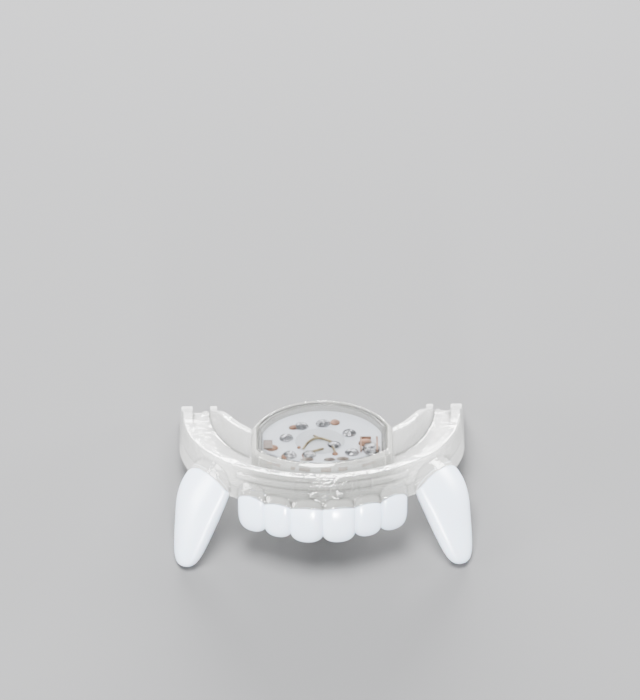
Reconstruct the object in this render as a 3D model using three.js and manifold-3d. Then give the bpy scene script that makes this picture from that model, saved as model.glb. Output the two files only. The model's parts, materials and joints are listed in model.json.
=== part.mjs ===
// A light-up vampire denture: a clear bite tray with a light capsule in the palate, six white
// front teeth and two long white fangs. It stands on the tips of its fangs and on the rear ends
// of its arms. Everything is worked out in the tray's own level frame, with the front of the rim
// at the origin, X to the right as seen from the front, Y towards the throat and Z up, and is
// tilted back at the end until both supports touch the ground.
import * as THREE from "three";
import { mergeVertices } from "three/addons/utils/BufferGeometryUtils.js";
import Module from "manifold-3d";

const wasm = await Module();
wasm.setup();

// Driving sizes, in millimetres and degrees.
const CLEARANCE = 0.3; // between pieces that touch

const ARCH_WIDTH = 64.8; // across the outer wall at its rim
const WALL_FLARE = 1.1; // how far the foot of an arm's outer wall stands out past its rim
const ARCH_FRONT = 28; // depth of the curved front
const ARM_RUN = 13; // straight run of the arms behind it
const TRAY_HEIGHT = 9;
const TRAY_FLOOR = 2;
const OUTER_WALL = 2.1;
const INNER_WALL = 1.7;
const ARM_END_HEIGHT = 3.8; // of the walls at the rear ends, from the underside
const SLOPE_RUN = 13; // over which the walls fall to that height
const SLOPE_EASE = 0.35; // share of that run over which the slope sets in and ends
const RIM_ROUND = 0.6;
const FRONT_BEAD = { stand: 0.35, top: 1.7, bottom: 3, span: 40, depth: 9 }; // below the rim
const FRONT_NUB = { radius: 0.85, down: 4.7, pitch: 6.2, shift: 0.8 }; // a pair on the front wall

const THROAT_WIDTH = 49.2; // between the arms at their rear ends
const THROAT_DEPTH = 22; // how far the opening between the arms reaches forward
const THROAT_CORNER = 17; // across one rounded front corner of that opening

const CAPSULE_WIDTH = 32.8;
const CAPSULE_LENGTH = 28.5;
const CAPSULE_FRONT_BOW = 6.7; // how far the front bows out past the flat sides
const CAPSULE_REAR_BOW = 12;
const FRONT_TROUGH = 3.4; // between the outer wall and the capsule
const CAPSULE_WALL = 2.2;
const CAPSULE_FLOOR = 1.5;
const BOARD_LEDGE = 1;
const WINDOW_THICKNESS = 0.65;
const WINDOW_REBATE = 1.1; // how far the window reaches into the capsule's wall
const WINDOW_SINK = 0.15; // of the window's face below the rim

const BOARD_THICKNESS = 1;
const SOLDER_HEIGHT = 0.8;
const SOLDER_RADIUS = 1.45;
const STRIP_THICKNESS = 0.5;
const STRIP_SPAN = 25;
const FRONT_LED = { width: 3.3, depth: 0.8, height: 2.8 };
const FRONT_LED_PITCH = 5.05;
const FRONT_LED_COUNT = 4;
const FRONT_LED_SHIFT = 2.6; // of the row's middle from the denture's middle

const TOOTH_WIDTH = 7.15;
const CROWN_HEIGHT = 9.8;
const ROOT_RISE = 2.3; // of the clear root above the white crown
const TOOTH_THICKNESS = 5.2;
const TOOTH_STAND = 1.6; // how far a tooth stands out from the tray's wall
const TOOTH_BOW = 0.9; // how far its lower corners lie above the middle of its biting edge
const TOOTH_SQUARENESS = { plan: 0.62, top: 0.45, bottom: 0.28 }; // exponents, 1 is an ellipsoid
const CROWN_TOP = 8; // of the white below the rim, at the middle teeth
const GUM_ARCH = 0.9; // rise of the gum line over one tooth

const FANG_LENGTH = 27.7;
const FANG_WIDTH = 14.8;
const FANG_PLACE = 30.6; // along the wall from the middle of the front
const FANG_TURN = 10; // turned forwards from square to the wall
const FANG_DEPTH = 1.6; // of its middle line inside the wall, at the rim
const FANG_LEAN = { reach: 9.8, power: 1.1 }; // of its tip outwards, and how late it sets in
const FANG_BEND = { aside: 4.2, run: 15 }; // of its top to the front, and over what length
const FANG_FLATNESS = { root: 0.38, tip: 0.8 }; // thickness over width
const FANG_GUM = { width: 13.4, shift: -0.9, top: 4.4 };

// One row a tooth, from the middle outwards, in shares of the sizes above. drop is how far the
// row's gum line lies below the rim.
const TOOTH_ROWS = [
  { width: 1, crown: 1, root: 1, drop: 1 },
  { width: 0.84, crown: 0.96, root: 0.96, drop: 0.95 },
  { width: 0.88, crown: 1.03, root: 1.44, drop: 0.84 },
];

// Outline of a fang seen square on: the share of its length below the rim, and of its width.
const FANG_OUTLINE = [
  { down: 0, width: 0 },
  { down: 0.02, width: 0.3 },
  { down: 0.08, width: 0.58 },
  { down: 0.18, width: 0.79 },
  { down: 0.3, width: 0.9 },
  { down: 0.41, width: 0.91 },
  { down: 0.52, width: 0.85 },
  { down: 0.635, width: 0.75 },
  { down: 0.775, width: 0.62 },
  { down: 0.9, width: 0.475 },
  { down: 0.97, width: 0.3 },
  { down: 1, width: 0 },
];

// Solder joints on the board, in shares of its half width and of its length from the front.
const SOLDER_JOINTS = [
  { across: -0.345, back: 0.73 },
  { across: 0.02, back: 0.78 },
  { across: -0.6, back: 0.49 },
  { across: 0.46, back: 0.58 },
  { across: -0.545, back: 0.14 },
  { across: -0.22, back: 0.145 },
  { across: 0.2, back: 0.33 },
  { across: 0.5, back: 0.18 },
];

// The bare wire on the board: shares as above, and of a joint's height above the board.
const WIRE_POINTS = [
  { across: -0.25, back: 0.28, up: 0.5 },
  { across: -0.2, back: 0.38, up: 0.75 },
  { across: -0.07, back: 0.44, up: 0.9 },
  { across: 0.06, back: 0.42, up: 0.75 },
];
const WIRE_RADIUS = 0.22;
const PAD = { across: -0.89, back: 0.33, width: 1.6, length: 3.6, height: 0.5 };
const BRACKET = { across: 0.79, back: 0.31, width: 4.2, length: 6, arm: 0.8, height: 0.7 };

// Places that follow from the sizes.
const REAR = ARCH_FRONT + ARM_RUN;
const TRAY_BOTTOM = -TRAY_HEIGHT;
const FLOOR_TOP = TRAY_BOTTOM + TRAY_FLOOR;
const CAPSULE_FRONT = OUTER_WALL + FRONT_TROUGH;
const WINDOW_BOTTOM = -WINDOW_SINK - WINDOW_THICKNESS;
const BOARD_TOP = WINDOW_BOTTOM - SOLDER_HEIGHT - 2 * CLEARANCE;
const BOARD_SEAT = BOARD_TOP - BOARD_THICKNESS - CLEARANCE;
const WELL_BOTTOM = TRAY_BOTTOM + CAPSULE_FLOOR;
const STRIP_INSET = CAPSULE_WALL + FRONT_LED.depth + 2 * CLEARANCE;
const BOARD_FRONT = CAPSULE_FRONT + STRIP_INSET + STRIP_THICKNESS + CLEARANCE;
const BOARD_REAR = CAPSULE_FRONT + CAPSULE_LENGTH - CAPSULE_WALL - CLEARANCE;
const BOARD_HALF_WIDTH = CAPSULE_WIDTH / 2 - CAPSULE_WALL - CLEARANCE;
const FAR = 4 * TRAY_HEIGHT; // reach of a cutting tool past what it cuts

const DEGREE = Math.PI / 180;
const STEEPEST = 60; // degrees, past any tilt that the denture can rest at

// How finely the curves are divided.
const FINE = 30; // segments of half an outline
const COARSE = 16;
const TOOTH_MESH = { around: 16, down: 11 };
const FANG_MESH = { around: 24, down: 22 };
const SOLDER_MESH = { around: 10, rings: 3 };
const WIRE_MESH = { around: 3, steps: 10 };
const NUB_MESH = { around: 12, down: 8 };
const RIM_STEPS = 2;
const GUM_STEPS = 9;
const TILT_STEPS = 40;

const FINISHES = {
  clear: { color: 0xdadad4, roughness: 0.22, metalness: 0, transparent: true, opacity: 0.5 },
  white: { color: 0xe8ecf1, roughness: 0.2, metalness: 0 },
  board: { color: 0xd9dce2, roughness: 0.55, metalness: 0 },
  lamp: { color: 0xc4c6c8, roughness: 0.1, metalness: 0, transparent: true, opacity: 0.7 },
  solder: { color: 0xa9abae, roughness: 0.15, metalness: 1 },
  copper: { color: 0xb08468, roughness: 0.4, metalness: 0.7 },
};

// Solids

function solidOf(geometry) {
  const bare = geometry.clone();
  bare.deleteAttribute("normal");
  bare.deleteAttribute("uv");
  const merged = mergeVertices(bare, 1e-4);
  const corners = merged.index.array;
  const kept = [];
  for (let i = 0; i < corners.length; i += 3) {
    const [a, b, c] = corners.slice(i, i + 3);
    if (a !== b && b !== c && c !== a) kept.push(a, b, c);
  }
  const numbers = { numProp: 3, vertProperties: merged.attributes.position.array };
  return new wasm.Manifold(new wasm.Mesh({ ...numbers, triVerts: new Uint32Array(kept) }));
}

function geometryOf(solid) {
  const { vertProperties, triVerts } = solid.getMesh();
  const geometry = new THREE.BufferGeometry();
  geometry.setAttribute("position", new THREE.BufferAttribute(vertProperties, 3));
  geometry.setIndex(new THREE.BufferAttribute(triVerts, 1));
  geometry.computeVertexNormals();
  return geometry;
}

// A plan outline made solid between two heights, its edges rounded where a round is given, and
// widened towards the tray's foot where it is to lean as the arms' outer walls do.
function slab(shape, bottom, top, { round = 0, segments = COARSE, flare = 0 } = {}) {
  const geometry = new THREE.ExtrudeGeometry(shape, {
    depth: top - bottom - 2 * round,
    curveSegments: segments,
    bevelEnabled: round > 0,
    bevelThickness: round,
    bevelSize: round,
    bevelOffset: -round,
    bevelSegments: RIM_STEPS,
  }).translate(0, 0, bottom + round);
  const position = geometry.attributes.position;
  for (let i = 0; i < position.count; i += 1) {
    const down = -position.getZ(i) / TRAY_HEIGHT;
    position.setX(i, position.getX(i) * (1 + (down * flare) / (ARCH_WIDTH / 2)));
  }
  return solidOf(geometry);
}

function box(width, depth, height) {
  return new THREE.BoxGeometry(width, depth, height);
}

// Outlines in plan

// The tray's outer outline, its arms running on past their ends where a cut needs that.
function archOutline(inset, past = 0) {
  const halfWidth = ARCH_WIDTH / 2 - inset;
  const outline = new THREE.Shape();
  outline.moveTo(-halfWidth, REAR + past);
  outline.lineTo(-halfWidth, ARCH_FRONT);
  outline.absellipse(0, ARCH_FRONT, halfWidth, ARCH_FRONT - inset, Math.PI, 2 * Math.PI);
  outline.lineTo(halfWidth, REAR + past);
  return outline;
}

// The opening between the arms: flat across its front, with rounded corners.
function throatOutline(grow) {
  const cornerX = THROAT_WIDTH / 2 - THROAT_CORNER;
  const across = THROAT_CORNER + grow;
  const deep = THROAT_DEPTH + grow;
  const outline = new THREE.Shape();
  outline.moveTo(-cornerX - across, REAR + FAR);
  outline.lineTo(-cornerX - across, REAR);
  outline.absellipse(-cornerX, REAR, across, deep, Math.PI, 1.5 * Math.PI);
  outline.absellipse(cornerX, REAR, across, deep, 1.5 * Math.PI, 2 * Math.PI);
  outline.lineTo(cornerX + across, REAR + FAR);
  return outline;
}

function bowRadius(bow) {
  return ((CAPSULE_WIDTH / 2) ** 2 + bow ** 2) / (2 * bow);
}

// The capsule's outline: flat sides between a shallow front bow and a deep rear one.
function capsuleOutline(inset) {
  const halfWidth = CAPSULE_WIDTH / 2 - inset;
  const frontRadius = bowRadius(CAPSULE_FRONT_BOW);
  const rearRadius = bowRadius(CAPSULE_REAR_BOW);
  const frontMiddle = CAPSULE_FRONT + frontRadius;
  const rearMiddle = CAPSULE_FRONT + CAPSULE_LENGTH - rearRadius;
  const frontAngle = Math.acos(halfWidth / (frontRadius - inset));
  const rearAngle = Math.acos(halfWidth / (rearRadius - inset));
  const outline = new THREE.Shape();
  outline.absarc(0, rearMiddle, rearRadius - inset, rearAngle, Math.PI - rearAngle);
  outline.absarc(0, frontMiddle, frontRadius - inset, Math.PI + frontAngle, -frontAngle);
  return outline;
}

// The tray's outer wall, followed from the middle of the front by the distance along its rim.
const WALL_CURVE = new THREE.EllipseCurve(
  0, ARCH_FRONT, ARCH_WIDTH / 2, ARCH_FRONT, -Math.PI / 2, 0,
);
WALL_CURVE.arcLengthDivisions = 400;

function wallPlace(along) {
  const share = Math.abs(along) / WALL_CURVE.getLength();
  const point = WALL_CURVE.getPointAt(share);
  const run = WALL_CURVE.getTangentAt(share);
  const side = along < 0 ? -1 : 1;
  return { x: point.x * side, y: point.y, facing: Math.atan2(run.y, run.x) * side };
}

// Puts a shape made square to the wall, its outer side towards -Y, in its place on the wall.
function placeOnWall(geometry, along, turn) {
  const { x, y, facing } = wallPlace(along);
  return geometry.rotateZ(facing - turn * DEGREE).translate(x, y, 0);
}

// Bends a shape made along X so that it follows the wall, its outer side still outwards.
function bendAlongWall(geometry, along) {
  const position = geometry.attributes.position;
  for (let i = 0; i < position.count; i += 1) {
    const { x, y, facing } = wallPlace(along + position.getX(i));
    const inward = position.getY(i);
    position.setX(i, x - inward * Math.sin(facing));
    position.setY(i, y + inward * Math.cos(facing));
  }
  return geometry;
}

// Teeth and fangs

// A block with rounded faces: a sphere whose roundness is drawn out towards its corners.
function roundedBlock(width, depth, height) {
  const { around, down } = TOOTH_MESH;
  const geometry = new THREE.SphereGeometry(1, around, down).rotateX(Math.PI / 2);
  const position = geometry.attributes.position;
  const point = new THREE.Vector3();
  for (let i = 0; i < position.count; i += 1) {
    point.fromBufferAttribute(position, i);
    const reach = Math.hypot(point.x, point.y);
    const across = reach < 1e-6 ? 0 : point.x / reach;
    const inward = reach < 1e-6 ? 0 : point.y / reach;
    const { plan, top, bottom } = TOOTH_SQUARENESS;
    const upright = point.z > 0 ? top : bottom;
    const ring = drawnOut(reach, upright);
    const x = ring * drawnOut(across, plan);
    const z = drawnOut(point.z, upright);
    position.setXYZ(
      i,
      (width / 2) * x,
      (depth / 2) * ring * drawnOut(inward, plan),
      (height / 2) * z + TOOTH_BOW * x * x * Math.max(0, -z),
    );
  }
  return geometry;
}

function drawnOut(value, squareness) {
  return Math.sign(value) * Math.abs(value) ** squareness;
}

// Everything below the gum line of one tooth: all that hangs under the tray, and the arch of
// white that reaches up in front of its wall.
function belowGumLine({ width, shift = 0, top }, grow) {
  const base = TRAY_BOTTOM - CLEARANCE + grow;
  const outline = new THREE.Shape();
  outline.moveTo(FAR, base);
  outline.lineTo(shift + width / 2 + grow, base);
  outline.absellipse(shift, base, width / 2 + grow, -top - base + grow, 0, Math.PI);
  outline.lineTo(-FAR, base);
  outline.lineTo(-FAR, -FAR);
  outline.lineTo(FAR, -FAR);
  const geometry = new THREE.ExtrudeGeometry(outline, {
    depth: 2 * FAR,
    curveSegments: GUM_STEPS,
    bevelEnabled: false,
  });
  return geometry.translate(0, 0, -FAR).rotateX(Math.PI / 2);
}

// Splits the form of one tooth at its gum line into the clear root and the white crown, both
// on the side asked for: the left side is the mirror image of the right.
function splitAtGum(whole, gumLine, side) {
  const underTray = slab(archOutline(-CLEARANCE, FAR), TRAY_BOTTOM - CLEARANCE, CLEARANCE, {
    segments: FINE,
    flare: WALL_FLARE,
  });
  const root = whole.subtract(gumLine(CLEARANCE));
  const crown = whole.intersect(gumLine(0)).subtract(underTray);
  return side < 0 ? { root: mirrored(root), crown: mirrored(crown) } : { root, crown };
}

function mirrored(solid) {
  return solid.mirror([1, 0, 0]);
}

function toothForm(row) {
  const top = CROWN_TOP * row.drop - ROOT_RISE * row.root;
  const bottom = CROWN_TOP * row.drop + CROWN_HEIGHT * row.crown;
  const width = TOOTH_WIDTH * row.width;
  return roundedBlock(width, TOOTH_THICKNESS, bottom - top).translate(
    0,
    TOOTH_THICKNESS / 2 - TOOTH_STAND,
    -(top + bottom) / 2,
  );
}

function makeTeeth(side) {
  let along = 0;
  return TOOTH_ROWS.map((row) => {
    const width = TOOTH_WIDTH * row.width;
    const middle = along + (width + CLEARANCE) / 2;
    along += width + CLEARANCE;
    const gum = { width: width + GUM_ARCH, top: CROWN_TOP * row.drop };
    const gumLine = (grow) => solidOf(placeOnWall(belowGumLine(gum, grow), middle, 0));
    return splitAtGum(solidOf(bendAlongWall(toothForm(row), middle)), gumLine, side);
  });
}

// A fang turned on its axis, then flattened, leaned outwards and bent to the front at its top.
function fangForm() {
  const outline = FANG_OUTLINE.map(
    ({ down, width }) => new THREE.Vector2((FANG_WIDTH / 2) * width, -FANG_LENGTH * down),
  );
  const profile = new THREE.SplineCurve(outline).getPoints(FANG_MESH.down);
  profile.forEach((point) => {
    point.x = Math.max(0, point.x);
  });
  profile[0].x = 0;
  profile.at(-1).x = 0;
  const turned = new THREE.LatheGeometry(profile.reverse(), FANG_MESH.around);
  const geometry = turned.rotateX(Math.PI / 2);
  const position = geometry.attributes.position;
  const { root, tip } = FANG_FLATNESS;
  for (let i = 0; i < position.count; i += 1) {
    const depth = Math.max(0, -position.getZ(i));
    const down = depth / FANG_LENGTH;
    const flatness = root + (tip - root) * down;
    const lean = FANG_LEAN.reach * down ** FANG_LEAN.power;
    const bend = FANG_BEND.aside * Math.max(0, 1 - depth / FANG_BEND.run) ** 2;
    position.setX(i, position.getX(i) - bend);
    position.setY(i, position.getY(i) * flatness + FANG_DEPTH - lean);
  }
  return geometry;
}

function makeFang(side) {
  const place = (geometry) => solidOf(placeOnWall(geometry, FANG_PLACE, FANG_TURN));
  return splitAtGum(place(fangForm()), (grow) => place(belowGumLine(FANG_GUM, grow)), side);
}

// The tray

// What the arms' walls lose towards their rear ends, as one sheet across both arms.
function armSlope() {
  const drop = TRAY_HEIGHT - ARM_END_HEIGHT;
  const start = REAR - SLOPE_RUN;
  const outline = new THREE.Shape();
  outline.moveTo(start, 0);
  outline.bezierCurveTo(
    start + SLOPE_RUN * SLOPE_EASE, 0,
    REAR - SLOPE_RUN * SLOPE_EASE, -drop,
    REAR, -drop,
  );
  outline.lineTo(REAR + FAR, -drop);
  outline.lineTo(REAR + FAR, FAR);
  outline.lineTo(start, FAR);
  const geometry = new THREE.ExtrudeGeometry(outline, {
    depth: 2 * ARCH_WIDTH,
    curveSegments: COARSE,
    bevelEnabled: false,
  });
  const turn = new THREE.Matrix4().makeBasis(
    new THREE.Vector3(0, 1, 0),
    new THREE.Vector3(0, 0, 1),
    new THREE.Vector3(1, 0, 0),
  );
  return solidOf(geometry.translate(0, 0, -ARCH_WIDTH).applyMatrix4(turn));
}

// The low band along the front wall.
function frontBead() {
  const { stand, top, bottom, span, depth } = FRONT_BEAD;
  const band = slab(archOutline(-stand), -bottom, -top, { segments: FINE, flare: WALL_FLARE });
  return band.intersect(solidOf(box(span, 2 * depth, 2 * FAR)));
}

// One of the two small round bumps under the band.
function frontNub(side) {
  const { radius, down, pitch, shift } = FRONT_NUB;
  const { x, y } = wallPlace(shift + (side * pitch) / 2);
  const { around, down: rings } = NUB_MESH;
  return solidOf(new THREE.SphereGeometry(radius, around, rings).translate(x, y, -down));
}

function makeTray(roots) {
  const fine = { segments: FINE };
  const blank = slab(archOutline(0), TRAY_BOTTOM, 0, {
    round: RIM_ROUND,
    flare: WALL_FLARE,
    ...fine,
  });
  const trough = slab(archOutline(OUTER_WALL, FAR), FLOOR_TOP, FAR, fine).subtract(
    slab(throatOutline(INNER_WALL), -FAR, 2 * FAR, fine),
  );
  const throat = slab(throatOutline(0), -FAR, FAR, fine);
  const capsuleSeat = slab(capsuleOutline(-CLEARANCE), -FAR, FAR, fine);
  return [...roots, frontBead(), frontNub(-1), frontNub(1)]
    .reduce((joined, form) => joined.add(form), blank)
    .subtract(trough)
    .subtract(throat)
    .subtract(capsuleSeat)
    .subtract(armSlope());
}

// The light capsule and what it holds

function makeCapsule() {
  const shell = slab(capsuleOutline(0), TRAY_BOTTOM, 0, { round: RIM_ROUND });
  const well = slab(capsuleOutline(CAPSULE_WALL + BOARD_LEDGE), WELL_BOTTOM, FAR);
  const boardBay = slab(capsuleOutline(CAPSULE_WALL), BOARD_SEAT, FAR);
  const windowBay = slab(
    capsuleOutline(CAPSULE_WALL - WINDOW_REBATE), WINDOW_BOTTOM - CLEARANCE, FAR,
  );
  const stripBay = slab(capsuleOutline(CAPSULE_WALL), WELL_BOTTOM, FAR).intersect(
    solidOf(
      box(STRIP_SPAN + 2 * CLEARANCE, CAPSULE_LENGTH, 2 * FAR).translate(0, CAPSULE_FRONT, 0),
    ),
  );
  return shell.subtract(well).subtract(boardBay).subtract(windowBay).subtract(stripBay);
}

function makeWindow() {
  const inset = CAPSULE_WALL - WINDOW_REBATE + CLEARANCE;
  return slab(capsuleOutline(inset), WINDOW_BOTTOM, -WINDOW_SINK);
}

// Everything behind a curve that runs along the capsule's front, this far inside it.
function behindFront(inset, bottom, top) {
  return slab(capsuleOutline(inset), bottom, top);
}

// The board fills the capsule's outline, with a round front edge that leaves room for the strip.
function makeBoard() {
  const bottom = BOARD_TOP - BOARD_THICKNESS;
  const radius = bowRadius(CAPSULE_FRONT_BOW);
  const edge = new THREE.Shape();
  edge.absarc(
    0, CAPSULE_FRONT + radius, radius - BOARD_FRONT + CAPSULE_FRONT, 0, 2 * Math.PI,
  );
  const frontEdge = slab(edge, bottom - BOARD_THICKNESS, 0, { segments: FINE });
  return slab(capsuleOutline(CAPSULE_WALL + CLEARANCE), bottom, BOARD_TOP).intersect(frontEdge);
}

function makeStrip() {
  const bottom = WELL_BOTTOM + CLEARANCE;
  const side = solidOf(
    box(STRIP_SPAN, CAPSULE_LENGTH / 2, 2 * FAR).translate(0, CAPSULE_FRONT, 0),
  );
  return behindFront(STRIP_INSET, bottom, BOARD_TOP)
    .subtract(behindFront(STRIP_INSET + STRIP_THICKNESS, -FAR, FAR))
    .intersect(side);
}

// A lamp of the front row, square to the strip that carries it.
function frontLed(index) {
  const radius = bowRadius(CAPSULE_FRONT_BOW);
  const middle = CAPSULE_FRONT + radius;
  const reach = radius - CAPSULE_WALL - CLEARANCE - FRONT_LED.depth / 2;
  const across = FRONT_LED_SHIFT + (index - (FRONT_LED_COUNT - 1) / 2) * FRONT_LED_PITCH;
  const angle = Math.asin(across / reach);
  return box(FRONT_LED.width, FRONT_LED.depth, FRONT_LED.height)
    .translate(0, -reach, WELL_BOTTOM + CLEARANCE + FRONT_LED.height / 2)
    .rotateZ(angle)
    .translate(0, middle, 0);
}

function onBoard({ across, back }) {
  return {
    x: across * BOARD_HALF_WIDTH,
    y: BOARD_FRONT + back * (BOARD_REAR - BOARD_FRONT),
  };
}

function solderJoint(place) {
  const { x, y } = onBoard(place);
  const { around, rings } = SOLDER_MESH;
  const profile = [new THREE.Vector2(0, 0)];
  for (let i = 0; i <= rings; i += 1) {
    const angle = (i / rings) * (Math.PI / 2);
    profile.push(
      new THREE.Vector2(SOLDER_RADIUS * Math.cos(angle), SOLDER_HEIGHT * Math.sin(angle)),
    );
  }
  profile.at(-1).x = 0;
  return new THREE.LatheGeometry(profile, around)
    .rotateX(Math.PI / 2)
    .translate(x, y, BOARD_TOP + CLEARANCE);
}

function boardBlock(part) {
  const { x, y } = onBoard(part);
  const height = BOARD_TOP + CLEARANCE + part.height / 2;
  return box(part.width, part.length, part.height).translate(x, y, height);
}

function contactBracket() {
  const { x, y } = onBoard(BRACKET);
  const { width, length, arm, height } = BRACKET;
  const slot = box(width - 2 * arm, length, 2 * FAR).translate(x, y - arm, 0);
  return solidOf(boardBlock(BRACKET)).subtract(solidOf(slot));
}

function wireLoop() {
  const route = new THREE.CatmullRomCurve3(
    WIRE_POINTS.map((point) => {
      const { x, y } = onBoard(point);
      return new THREE.Vector3(x, y, BOARD_TOP + CLEARANCE + SOLDER_HEIGHT * point.up);
    }),
  );
  const section = new THREE.Shape().absarc(0, 0, WIRE_RADIUS, 0, 2 * Math.PI);
  return new THREE.ExtrudeGeometry(section, {
    extrudePath: route,
    steps: WIRE_MESH.steps,
    curveSegments: WIRE_MESH.around,
    bevelEnabled: false,
  });
}

// Assembly

const denture = new THREE.Group();

function addPiece(name, shape, finish) {
  const geometry = shape.isBufferGeometry ? shape : geometryOf(shape);
  const mesh = new THREE.Mesh(geometry, new THREE.MeshStandardMaterial(FINISHES[finish]));
  mesh.name = name;
  denture.add(mesh);
  return mesh;
}

const sides = [
  { name: "left", sign: -1 },
  { name: "right", sign: 1 },
];
const roots = [];
for (const { name, sign } of sides) {
  makeTeeth(sign).forEach(({ root, crown }, i) => {
    roots.push(root);
    addPiece(`tooth_${name}_${i + 1}`, crown, "white");
  });
  const fang = makeFang(sign);
  roots.push(fang.root);
  addPiece(`fang_${name}`, fang.crown, "white");
}
addPiece("tray", makeTray(roots), "clear");
addPiece("light_capsule", makeCapsule(), "clear");
addPiece("capsule_window", makeWindow(), "clear");
addPiece("circuit_board", makeBoard(), "board");
addPiece("led_strip", makeStrip(), "board");
for (let i = 0; i < FRONT_LED_COUNT; i += 1) {
  addPiece(`front_led_${i + 1}`, frontLed(i), "lamp");
}
SOLDER_JOINTS.forEach((place, i) => {
  addPiece(`solder_joint_${i + 1}`, solderJoint(place), "solder");
});
addPiece("contact_pad", boardBlock(PAD), "copper");
addPiece("contact_bracket", contactBracket(), "copper");
addPiece("wire_loop", wireLoop(), "copper");

// The tilt at which the fangs and the arms stand on the same level.
function lowest(pieces, tilt) {
  const turn = new THREE.Matrix4().makeRotationX(tilt);
  const point = new THREE.Vector3();
  let low = Infinity;
  for (const piece of pieces) {
    const position = piece.geometry.attributes.position;
    for (let i = 0; i < position.count; i += 1) {
      point.fromBufferAttribute(position, i).applyMatrix4(turn);
      low = Math.min(low, point.z);
    }
  }
  return low;
}

function restTilt() {
  const fangs = denture.children.filter((piece) => piece.name.startsWith("fang_"));
  const tray = denture.children.filter((piece) => piece.name === "tray");
  let steep = -STEEPEST * DEGREE;
  let level = 0;
  for (let i = 0; i < TILT_STEPS; i += 1) {
    const middle = (level + steep) / 2;
    if (lowest(fangs, middle) < lowest(tray, middle)) level = middle;
    else steep = middle;
  }
  return level;
}

denture.rotation.x = restTilt();
const part = new THREE.Group();
part.add(denture);
part.updateMatrixWorld(true);
const bounds = new THREE.Box3().setFromObject(part, true);
const middle = bounds.getCenter(new THREE.Vector3());
denture.position.set(-middle.x, -middle.y, -bounds.min.z);

export default part;
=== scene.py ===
"""A light-up vampire denture standing on a pale floor: clear moulded tray, light capsule with its
board, white teeth and white fangs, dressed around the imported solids."""

import bisect
import json
import math

import bmesh
import bpy
from mathutils import Matrix, Vector


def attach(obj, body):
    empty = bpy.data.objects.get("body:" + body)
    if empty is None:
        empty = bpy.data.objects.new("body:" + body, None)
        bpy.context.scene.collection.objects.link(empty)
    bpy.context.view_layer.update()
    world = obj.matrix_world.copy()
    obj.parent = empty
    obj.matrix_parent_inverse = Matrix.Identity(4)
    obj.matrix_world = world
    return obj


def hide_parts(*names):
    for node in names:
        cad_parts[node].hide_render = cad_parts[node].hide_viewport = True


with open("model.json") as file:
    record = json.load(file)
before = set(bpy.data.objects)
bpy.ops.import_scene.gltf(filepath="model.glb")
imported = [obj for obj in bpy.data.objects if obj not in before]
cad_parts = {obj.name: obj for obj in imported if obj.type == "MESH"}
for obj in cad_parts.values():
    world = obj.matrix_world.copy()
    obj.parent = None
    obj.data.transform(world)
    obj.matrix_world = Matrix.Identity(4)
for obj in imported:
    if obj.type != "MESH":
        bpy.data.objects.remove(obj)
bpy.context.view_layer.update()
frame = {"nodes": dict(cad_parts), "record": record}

# The denture is modelled level, in millimetres, with the front of its rim at the origin and Z up
# out of the bite tray, and is then turned into the tilt in which it stands.
MM = 0.001

CAPSULE_SETBACK = 5.5  # of the capsule's front behind the rim's front
ARCH_HALF_WIDTH = 32.4
ARCH_FRONT = 28.0
WALL_FLARE = 1.1
OUTER_WALL = 2.1
INNER_WALL = 1.7
TRAY_FLOOR = 2.0
ARM_END_HEIGHT = 3.8
SLOPE_RUN = 13.0
THROAT_WIDTH = 49.2
THROAT_DEPTH = 22.0
THROAT_CORNER = 17.0
FRONT_BEAD = {"stand": 0.35, "top": -1.7, "bottom": -3.0, "half_width": 20.0, "depth": 9.0}
LAMP_POCKET = {"width": 3.6, "top": 1.7, "bottom": 4.9, "wall": 1.0}
LAMP_COUNT = 4
CAPSULE_FRONT_BOW = 6.7
CAPSULE_REAR_BOW = 12.0
CAPSULE_REAR_STAND = 1.2  # of the dressed capsule's rear past the solid's
CAPSULE_WALL = 2.2
CAPSULE_FLOOR = 1.5
CAPSULE_CHAMFER = 0.85
WINDOW_REBATE = 1.1
WINDOW_EDGE = 0.12
FIT = 0.04  # gap between the clear pieces where they touch
BITE = 60.0  # reach of a cutting tool past what it cuts
TINY = 1e-9  # stands in for zero under a fraction line
NEAR = 1e-3  # how close a point counts as on a line
ON_CUT = 1e-4  # how close a point counts as on a cut
# How fine the curved shapes are, in steps.
OUTLINE_STEPS = 256
CAPSULE_STEPS = 320
GUM_STEPS = 64
FANG_STEPS = 72
FANG_ROW_STEPS = 6
WALL_STEPS = 2000
SLOPE_STEPS = 24
BALL_STEPS = {"u_segments": 40, "v_segments": 28}
TOOTH_STEPS = {"u_segments": 72, "v_segments": 56}
# How soft the moulded edges are: the size of a small cube of the mesh, and its smoothing passes.
TRAY_SOFTNESS = {"voxel": 0.24, "passes": 4}
CAPSULE_SOFTNESS = {"voxel": 0.25, "passes": 4}

TOOTH_WIDTH = 7.15
TOOTH_GAP = 0.3
TOOTH_OVERLAP = 1.3  # of neighbouring crowns, which makes their row one moulding
CROWN_HEIGHT = 9.8
ROOT_RISE = 2.3
TOOTH_THICKNESS = 5.2
TOOTH_STAND = 1.6
TOOTH_BOW = 0.9
TOOTH_SQUARENESS = {"plan": 0.7, "top": 0.62, "bottom": 0.4}
TOOTH_BULGE = 0.28  # share of its thickness that its faces lose towards their ends
CROWN_TOP = 8.0
GUM_ARCH = 0.5
TOOTH_ROWS = (
    {"width": 1, "crown": 1, "root": 1, "drop": 1},
    {"width": 0.84, "crown": 0.96, "root": 0.96, "drop": 0.95},
    {"width": 0.88, "crown": 1.03, "root": 1.44, "drop": 0.84},
)

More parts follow.
